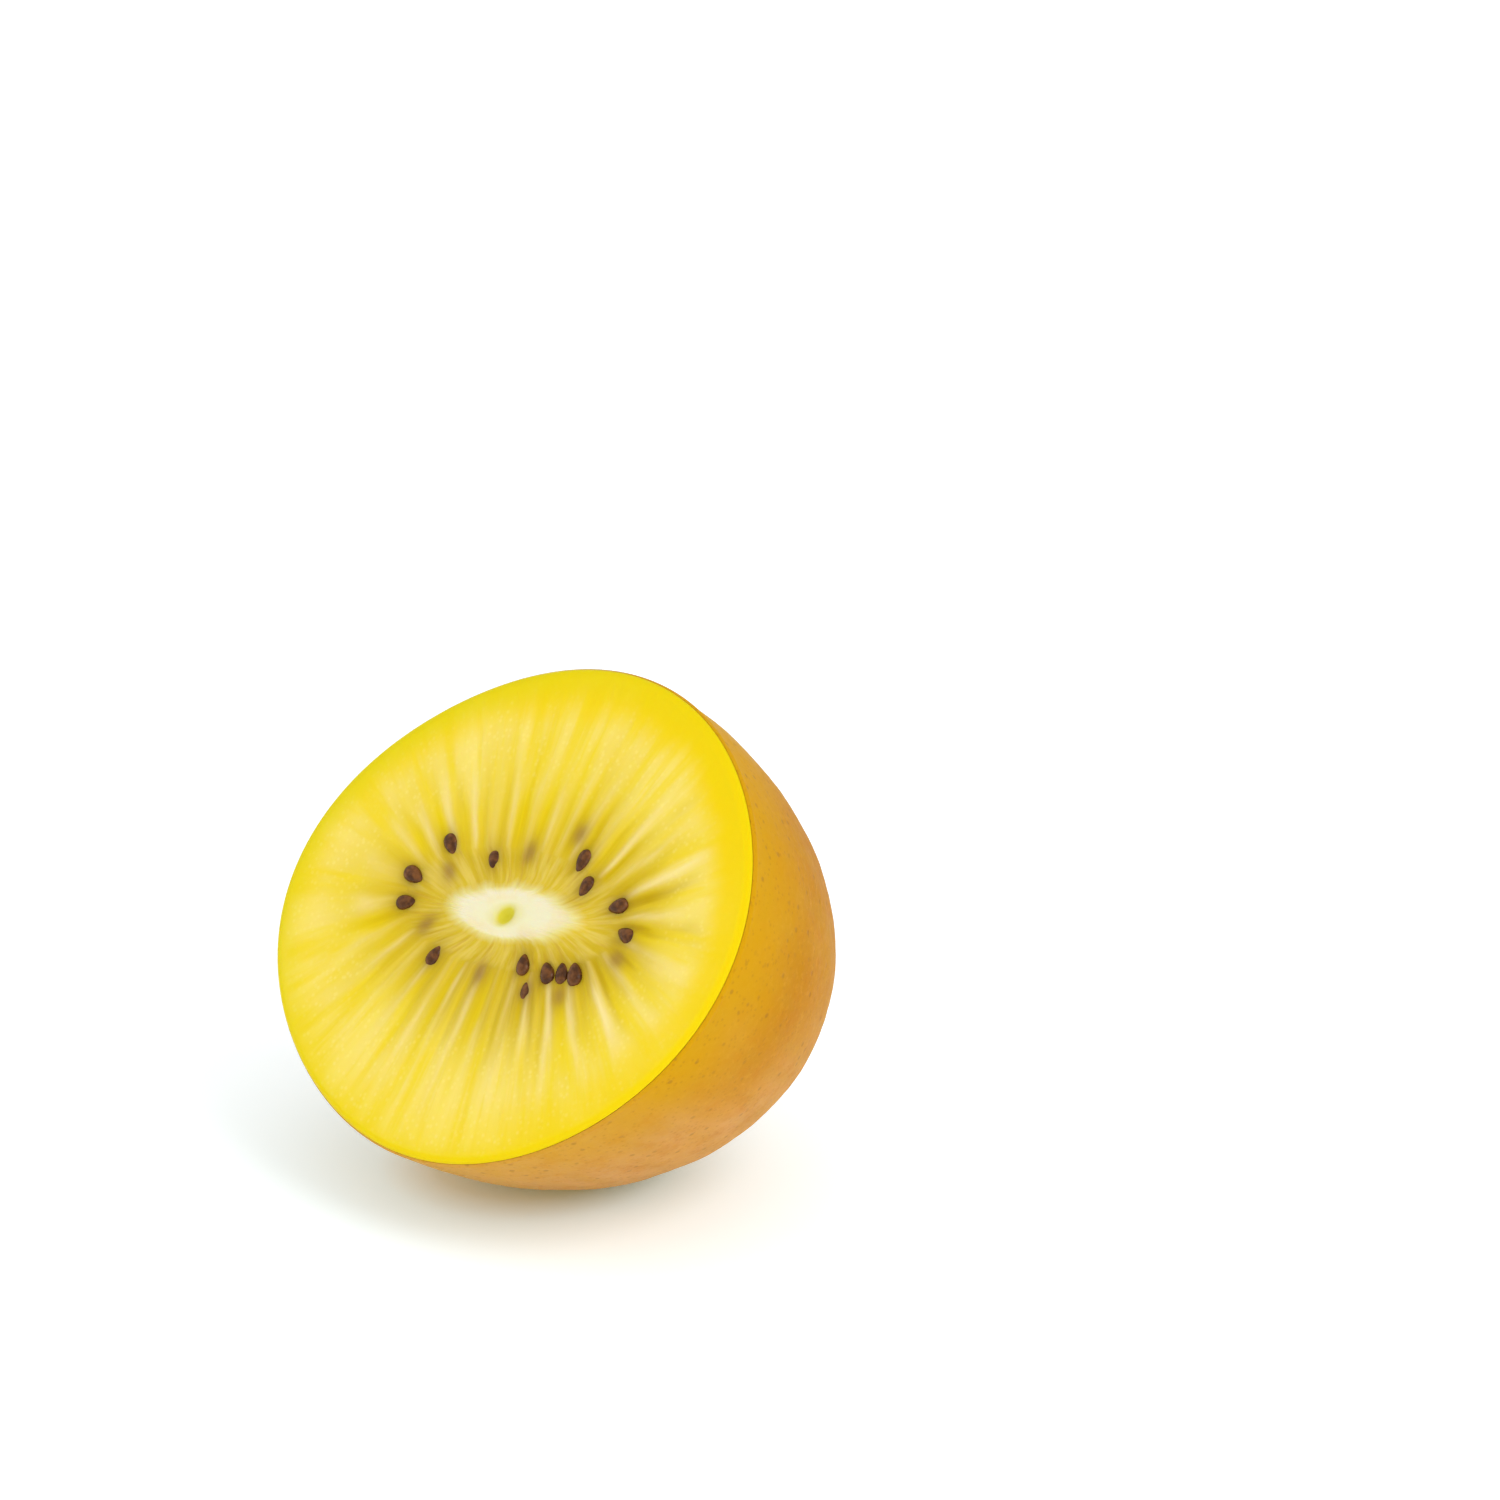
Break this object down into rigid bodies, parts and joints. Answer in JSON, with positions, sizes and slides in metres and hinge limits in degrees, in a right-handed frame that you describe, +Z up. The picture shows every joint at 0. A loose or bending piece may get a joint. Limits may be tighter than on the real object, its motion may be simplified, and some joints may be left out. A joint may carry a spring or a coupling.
{
  "type": "golden kiwi fruit half",
  "caption": "Half a golden kiwi fruit, cut straight across and lying on its side: rayed yellow flesh with a pale core and dark seeds on the cut face, smooth tan skin behind.",
  "frame": {"origin": "middle of the small flat spot on the skin that the half rests on", "axes": "+Z up; the fruit's own axis lies in the YZ plane and the cut face looks towards -Y, tilted up; +X is to the right of someone who looks at the cut face"},
  "size_m": [0.0559, 0.0453, 0.0483],
  "materials": {
    "flesh": "moist, slightly translucent fruit flesh, pale rays over deep yellow",
    "skin": "thin tan skin with a soft sheen, fine mottling and tiny darker dots",
    "core": "firm cream-white core, moist",
    "seed": "dark brown seeds with a wet gloss",
    "scar": "dry, corky stalk scar"
  },
  "bodies": {
    "root": {"kiwi_half": "flesh"}
  },
  "joints": []
}
